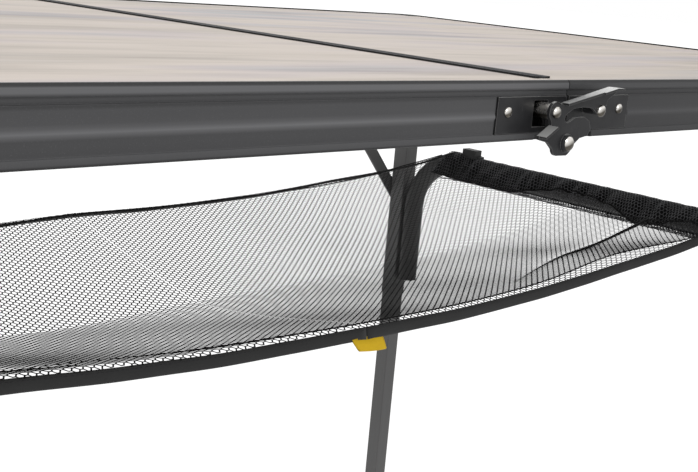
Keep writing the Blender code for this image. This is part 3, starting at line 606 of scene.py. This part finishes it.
def net_half(side, look):
    """Half of the net: a honeycomb of yarns that hangs between the bound edges."""
    outward = SIDES[side]
    length = BAR_X - HEM
    start, end = lattice(length, SEAM_HALF_WIDTH, CELL_X, CELL_Y, CELL_LINK)
    middle = (start + end) / 2
    inside = (middle[:, 0] > NET_START) & (middle[:, 0] < length)
    inside &= np.abs(middle[:, 1]) < edge_y(side, middle[:, 0]) - 0.0004
    start, end = start[inside], end[inside]

    def hung(flat):
        x = np.clip(flat[:, 0], NET_START, None)
        return np.stack([outward * x, flat[:, 1], net_z(side, x, flat[:, 1])], 1)

    low, high = hung(start), hung(end)
    step = 0.0005
    probe = (start + end) / 2
    slope_x = (hung(probe + [step, 0]) - hung(probe - [step, 0]))[:, 2] / (2 * step) * outward
    slope_y = (hung(probe + [0, step]) - hung(probe - [0, step]))[:, 2] / (2 * step)
    up = np.stack([-slope_x, -slope_y, np.ones(len(probe))], 1)
    up /= np.linalg.norm(up, axis=1, keepdims=True)
    thinning = YARN_THINNING[side] * np.clip((probe[:, :1] - 0.25) / 0.15, 0, 1)
    verts, faces = yarn_prisms(low, high, up, YARN_WIDTH * (1 - thinning), YARN_HEIGHT)
    if outward < 0:
        faces = faces[:, ::-1]
    piece = new_piece(f"{side}_net_cloth", verts.tolist(), faces.tolist(), look, f"{side}_half")
    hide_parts(f"{side}_net")
    return piece


def fold_flat(piece):
    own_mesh(piece)


def band_path(side, end, steps=90):
    """Middle of a bound edge from the seam to the bar, with the tape's tilt at each point."""
    outward, toward = SIDES[side], ENDS[end]
    path = []
    for k in range(steps + 1):
        x = NET_START + (BAR_X - 0.010 - NET_START) * k / steps
        wobble = noise.noise(Vector((outward * x * 11, toward * 3.1, 1.7)))
        y = toward * (edge_y(side, x) + 0.0004 + 0.0008 * wobble)
        z = band_z(side, x) + 0.0010 * noise.noise(Vector((outward * x * 15, toward * 7.3, 2.9)))
        lean = 10 + 8 * wobble + 34 * (x / BAR_X) ** 6
        if end == "back":
            y += BAND_HEIGHT / 2
            z += BAND_HEIGHT / 2 - 0.0036
            lean = 67 + 10 * wobble
        path.append((Vector((outward * x, y, z)), math.radians(lean)))
    return path


def band(side, end, look):
    """Woven tape folded over the net's edge."""
    toward = ENDS[end]
    high, thick = BAND_HEIGHT / 2, BAND_THICK / 2
    outline = [(-thick * 0.55, -high), (thick * 0.55, -high), (thick, -high + thick), (thick * 1.08, 0.0),
               (thick, high - thick), (thick * 0.55, high), (-thick * 0.55, high), (-thick, high - thick),
               (-thick * 1.08, 0.0), (-thick, -high + thick)]
    rings = []
    for point, tilt in band_path(side, end):
        lean = Matrix.Rotation(tilt * toward, 3, "X")
        rings.append([point + lean @ Vector((0, y * toward, z)) for y, z in outline])
    verts, faces = bridge(rings)
    piece = new_piece(f"{side}_{end}_net_band", verts, faces, look, f"{side}_half")
    fold_flat(piece)
    return piece


def band_stitches(side, end, look):
    """Row of stitches near the tape's inner edge, on both of its faces."""
    toward = ENDS[end]
    pitch, long, radius = 0.0034, 0.0022, 0.00028
    path = band_path(side, end, 520)
    walked, parts, due = 0.0, [], pitch
    for (a, tilt), (b, _) in zip(path, path[1:]):
        walked += (b - a).length
        if walked < due:
            continue
        due += pitch
        lean = Matrix.Rotation(tilt * toward, 3, "X")
        along = (b - a).normalized() * long / 2
        for face in (-1, 1):
            at = a + lean @ Vector((0, face * toward * BAND_THICK * 0.53, BAND_HEIGHT * 0.30))
            parts.append(thread_line([at - along, at - along * 0.6, at + along * 0.6, at + along],
                                     lambda t: radius * (0.5 + 2.0 * t * (1 - t)), 5))
    verts, faces = joined(parts)
    piece = new_piece(f"{side}_{end}_band_stitches", verts, faces, look, f"{side}_half")
    fold_flat(piece)
    return piece


def on_net(side, x, y, lift=0.0003):
    """The point of the hanging net at distance x from the seam and at y, a little above its yarns."""
    z = float(net_z(side, np.array([x]), np.array([y]))[0])
    return Vector((SIDES[side] * x, y, z + lift))


def hem_thread(side, end, look):
    """Dark thread that gathers the net's ridge a little inside the bound edge."""
    toward = ENDS[end]
    points = []
    for k in range(141):
        x = NET_START + (BAR_X - HEM - NET_START) * k / 140
        points.append(on_net(side, x, toward * (edge_y(side, x) - gather_inset(side, x))))
    thick, faded = 0.00060, 0.00015
    if side == "left":
        def radius(t):
            return thick - (thick - faded) * min(max((t - 0.22) / 0.16, 0), 1)
    else:
        radius = thick
    verts, faces = thread_line(points, radius)
    piece = new_piece(f"{side}_{end}_hem_thread", verts, faces, look, f"{side}_half")
    fold_flat(piece)
    return piece


def flap_crease(side, look):
    """The pinched fold of the front corner, from the hem toward the seam."""
    points = []
    for k in range(71):
        x = CREASE_START + (CREASE_END - CREASE_START) * k / 70
        points.append(on_net(side, x, -float(crease_y(x)), 0.0))
    verts, faces = thread_line(points, lambda t: 0.0017 * (1 - t) ** 1.3 + 0.0002, 8)
    piece = new_piece(f"{side}_net_crease", verts, faces, look, f"{side}_half")
    fold_flat(piece)
    return piece


# ---- the sleeves round the bars -----------------------------------------------------------------
SLEEVE_OUTLINE = [  # in from the bar's axis toward the seam, and up from it
    (0.0355, -0.0095), (0.0255, -0.0005), (0.0155, 0.0085), (0.0062, 0.0138), (0.0, 0.0150),
    (-0.0080, 0.0130), (-0.0146, 0.0045), (-0.0148, -0.0060), (-0.0085, -0.0138), (0.0, -0.0158),
    (0.0100, -0.0150), (0.0230, -0.0130), (0.0355, -0.0112)]
ROUND_SLEEVE = 0.118  # the cloth's length round that outline


def along_outline(share):
    """Points and outward directions at shares from 0 to 1 round the sleeve's outline."""
    points = np.array(SLEEVE_OUTLINE)
    last = len(points) - 1
    place = np.clip(share, 0, 0.99999) * last
    k = place.astype(int)
    t = (place - k)[:, None]
    p0, p1 = points[np.clip(k - 1, 0, last)], points[k]
    p2, p3 = points[np.clip(k + 1, 0, last)], points[np.clip(k + 2, 0, last)]
    square, cube = 2 * p0 - 5 * p1 + 4 * p2 - p3, 3 * p1 - p0 - 3 * p2 + p3
    at = 0.5 * (2 * p1 + (p2 - p0) * t + square * t**2 + cube * t**3)
    way = 0.5 * ((p2 - p0) + 2 * square * t + 3 * cube * t**2)
    way /= np.linalg.norm(way, axis=1, keepdims=True)
    return at, np.stack([-way[:, 1], way[:, 0]], 1) * -1


def sleeve_reach(side):
    """The sleeve bunches up a little way onto the bar's bends."""
    return half_width(side) + 0.012


def sleeve_point(side, share, y, lift=0.0):
    """The gathered sleeve's surface: round its outline by share, at y along the bar."""
    outward = SIDES[side]
    at, out = along_outline(share)
    flap = np.sin(math.pi * np.clip(share / 0.30, 0, 1))
    near_end = np.exp(-((sleeve_reach(side) - np.abs(y)) / 0.030) ** 2)
    folds = (0.6 * np.sin(y * 190 + 2.1 * np.sin(y * 47) + share * 5)
             + 0.4 * np.sin(y * 331 + 1.7 * np.sin(y * 71 + 1) - share * 7))
    puff = lift + (0.0003 + 0.0024 * flap) * folds + 0.0022 * near_end
    point = at + out * puff[:, None]
    return np.stack([outward * (BAR_X - point[:, 0]), y, BAR_Z + point[:, 1]], 1), out


def flatten_on_bar(piece):
    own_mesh(piece)


def sleeve(side, look):
    """The net's end, doubled round the shelf bar and gathered along it."""
    outward = SIDES[side]
    reach = sleeve_reach(side)
    gather_x, gather_y = 0.80, 0.62
    start, end = lattice(ROUND_SLEEVE, reach, CELL_X * gather_x, CELL_Y * gather_y, CELL_LINK * gather_x)
    middle = (start + end) / 2
    inside = (middle[:, 0] > 0) & (middle[:, 0] < ROUND_SLEEVE) & (np.abs(middle[:, 1]) < reach)
    start, end = start[inside], end[inside]
    low, _ = sleeve_point(side, start[:, 0] / ROUND_SLEEVE, start[:, 1])
    high, _ = sleeve_point(side, end[:, 0] / ROUND_SLEEVE, end[:, 1])
    _, out = along_outline((start[:, 0] + end[:, 0]) / 2 / ROUND_SLEEVE)
    up = np.stack([-outward * out[:, 0], np.zeros(len(out)), out[:, 1]], 1)
    verts, faces = yarn_prisms(low, high, up, YARN_WIDTH, YARN_HEIGHT * 0.6)
    piece = new_piece(f"{side}_net_sleeve", verts.tolist(), faces.tolist(), look, f"{side}_leg_frame")
    flatten_on_bar(piece)
    return piece


def lining_edge(y):
    """Where the close-woven layer ends on the flap, as a share round the sleeve: it droops in swags."""
    swag = 0.40 * np.clip(1 - (y / 0.085) ** 2, 0, 1) + 0.33 * np.exp(-(((y + 0.145) / 0.03) ** 2))
    return 0.333 * swag


def sleeve_lining(side, look):
    """Close-woven inner layer of the sleeve, which makes it look solid black round the bar."""
    reach, columns = sleeve_reach(side) - 0.001, 260
    last_share = 0.74
    rings, fold = [], []
    for k in range(columns + 1):
        y = -reach + 2 * reach * k / columns
        shares = np.linspace(float(lining_edge(y)), last_share, 41)
        points, _ = sleeve_point(side, shares, np.full(len(shares), y), -0.0008)
        rings.append(points.tolist())
        fold.append(sleeve_point(side, shares[:1], np.array([y]), 0.0002)[0][0].tolist())
    verts, faces = joined([bridge(rings, closed=False, capped=False), thread_line(fold, 0.0011)])
    piece = new_piece(f"{side}_sleeve_lining", verts, faces, look, f"{side}_leg_frame")
    flatten_on_bar(piece)
    return piece


# ---- the label ----------------------------------------------------------------------------------
def label(look):
    """Folded yellow label sewn under the front band at the middle of the table, a little askew."""
    x0, wide, gap = -0.0145, 0.030, 0.0009
    top = band_z("left", 0.0) - BAND_HEIGHT / 2 + 0.0020
    y0 = -SEAM_HALF_WIDTH - 0.0004
    profile = [(-gap, 0.0), (-gap * 1.5, 0.5), (-gap * 1.1, 0.93), (0.0, 1.0), (gap * 1.1, 0.93),
               (gap * 0.7, 0.5), (gap * 0.4, 0.0)]
    columns = 14
    rings = []
    for y, down in profile:
        ring = []
        for k in range(columns + 1):
            t = k / columns
            drop = (0.0105 + 0.0026 * t) * down
            slant = (0.0095 - 0.0045 * t) * down
            curl = -0.0016 * math.sin(math.pi * t) * down - 0.0022 * t * down
            ring.append(Vector((x0 + wide * t + slant, y0 + y + curl, top - drop + 0.0012 * t)))
        rings.append(ring)
    verts, faces = bridge(rings, closed=False, capped=False)
    piece = new_piece("net_label", verts, faces, look, "left_half")
    thick = piece.modifiers.new("thickness", "SOLIDIFY")
    thick.thickness = 0.0004
    thick.offset = 0.0
    return piece


# ---- bright fastenings --------------------------------------------------------------------------
def dome(radius, height, base=0.0, steps=8):
    """A low dome's profile, bottom to top."""
    arcs = [math.radians(90 * k / steps) for k in range(steps + 1)]
    points = [(radius * math.cos(a), base + height * math.sin(a)) for a in arcs]
    points[-1] = (radius * 0.02, points[-1][1])
    return [(radius, base - 0.0004), *points]


def latch_heads(end, look):
    """Domed rivets of one latch: two in the plates, the pivot and the catch pin."""
    toward = ENDS[end]
    out = (0, toward, 0)
    face = toward * RAIL_FACE
    post_low, post_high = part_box(f"{end}_latch_post")
    pivot_x, height = (post_low.x + post_high.x) / 2, (post_low.z + post_high.z) / 2
    post_tip = max(abs(post_low.y), abs(post_high.y))
    catch_tip = max(abs(corner.y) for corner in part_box(f"{end}_latch_catch_plate"))
    for side, outward in SIDES.items():
        at = facing(out, (outward * PLATE_RIVET_X, face, TOP - PLATE_RIVET_DEPTH))
        turned(f"{end}_{side}_plate_rivet", dome(0.0032, 0.0018), at, look, f"{side}_half")
    at = facing(out, (pivot_x, toward * (post_tip - HEAD_LIFT), height))
    turned(f"{end}_pivot_head", dome(0.0035, 0.0021), at, look, "left_half")
    at = facing(out, (CATCH_PIN_X, toward * (catch_tip - HEAD_LIFT), height))
    turned(f"{end}_catch_head", dome(0.0037, 0.0021), at, look, "right_half")


def lever_stud(end, look):
    """Big nickel dome on the lever's lobe."""
    toward = ENDS[end]
    at = facing((0, toward, 0), (STUD_X, toward * (RAIL_FACE + LEVER_PROUD), TOP - STUD_DEPTH))
    profile = [(0.0054, 0.0002), (0.0054, 0.0006), *dome(0.0051, 0.0040, 0.0004)[1:]]
    turned(f"{end}_lever_stud", profile, at, look, f"{end}_latch")


def fastenings(look):
    for end in ENDS:
        latch_heads(end, look)
        lever_stud(end, look)


# ---- stage, light and camera --------------------------------------------------------------------
def stage():
    """Pale floor, bright enough to run into the white behind it."""
    half = 30.0
    floor_mesh = bpy.data.meshes.new("floor")
    floor_mesh.from_pydata([(-half, -half, 0), (half, -half, 0), (half, half, 0), (-half, half, 0)], [],
                           [(0, 1, 2, 3)])
    floor = bpy.data.objects.new("floor", floor_mesh)
    bpy.context.scene.collection.objects.link(floor)
    pale = bpy.data.materials.new("pale_floor")
    pale.use_nodes = True
    shader = pale.node_tree.nodes["Principled BSDF"]
    shader.inputs["Base Color"].default_value = (0.14, 0.14, 0.14, 1.0)
    shader.inputs["Roughness"].default_value = 0.9
    shader.inputs["Emission Color"].default_value = (1.0, 1.0, 1.0, 1.0)
    shader.inputs["Emission Strength"].default_value = 0.93
    floor_mesh.materials.append(pale)


def area_light(name, place, target, size, power):
    light = bpy.data.lights.new(name, "AREA")
    light.shape = "RECTANGLE"
    light.size, light.size_y = size
    light.energy = power
    made = bpy.data.objects.new(name, light)
    bpy.context.scene.collection.objects.link(made)
    made.location = place
    made.rotation_euler = (Vector(target) - Vector(place)).to_track_quat("-Z", "Y").to_euler()


def lights():
    world = bpy.data.worlds.new("studio")
    bpy.context.scene.world = world
    world.use_nodes = True
    sky = world.node_tree.nodes["Background"]
    sky.inputs["Color"].default_value = (1.0, 1.0, 1.0, 1.0)
    sky.inputs["Strength"].default_value = 1.0
    area_light("key", (-1.6, -2.4, 2.6), (0.0, 0.0, 0.6), (1.4, 0.9), 45)
    area_light("rim", (1.8, 2.2, 2.2), (0.0, 0.0, 0.6), (2.4, 1.0), 14)
    bpy.context.scene.view_settings.view_transform = "Standard"


def camera():
    """Camera at the front left, a little above the top, looking along the net's diagonal."""
    place = Vector((-0.587, -0.764, TOP + 0.054))
    yaw, pitch, roll = (math.radians(v) for v in (44.9, 12.8, -5.0))
    forward = Vector((math.sin(yaw) * math.cos(pitch), math.cos(yaw) * math.cos(pitch), -math.sin(pitch)))
    level = Vector((math.cos(yaw), -math.sin(yaw), 0))
    down = forward.cross(level)
    right = math.cos(roll) * level + math.sin(roll) * down
    up = math.sin(roll) * level - math.cos(roll) * down
    turn = Matrix((right, up, -forward)).transposed().to_4x4()
    lens = bpy.data.cameras.new("camera")
    lens.lens = 60.6
    lens.sensor_width = 36
    lens.clip_start = 0.02
    made = bpy.data.objects.new("camera", lens)
    bpy.context.scene.collection.objects.link(made)
    made.matrix_world = Matrix.Translation(place) @ turn
    bpy.context.scene.camera = made


# ---- assembly -----------------------------------------------------------------------------------
def soft_pieces():
    black, tape, yellow = yarn(), webbing(), label_cloth()
    stitch, inner = yarn("stitch_thread", 0.020), yarn("lining_fabric", 0.006)
    # The sleeve's net is the net's own black yarn, painted lighter here as a painted highlight along the
    # sleeve.
    lit_outer_yarn = yarn("sleeve_yarn_painted_highlight", 0.095)
    tag = label(yellow)
    for side in SIDES:
        net = net_half(side, black)
        trims = []
        for end in ENDS:
            trims += [band(side, end, tape), band_stitches(side, end, stitch), hem_thread(side, end, black)]
        trims.append(flap_crease(side, black))
        if side == "left":
            trims.append(tag)
        fold_flat(net)
        wrap = sleeve(side, lit_outer_yarn)
        sleeve_lining(side, inner)
    flat_tag(tag)


def flat_tag(tag):
    """The label gets its thickness as mesh, and moves with the net's half."""
    bpy.context.view_layer.update()
    solid = bpy.data.meshes.new_from_object(tag.evaluated_get(bpy.context.evaluated_depsgraph_get()))
    tag.modifiers.clear()
    tag.data = solid
    fold_flat(tag)


looks = finish_nodes()
soft_pieces()
fastenings(looks["latch_post"])
stage()
lights()
camera()
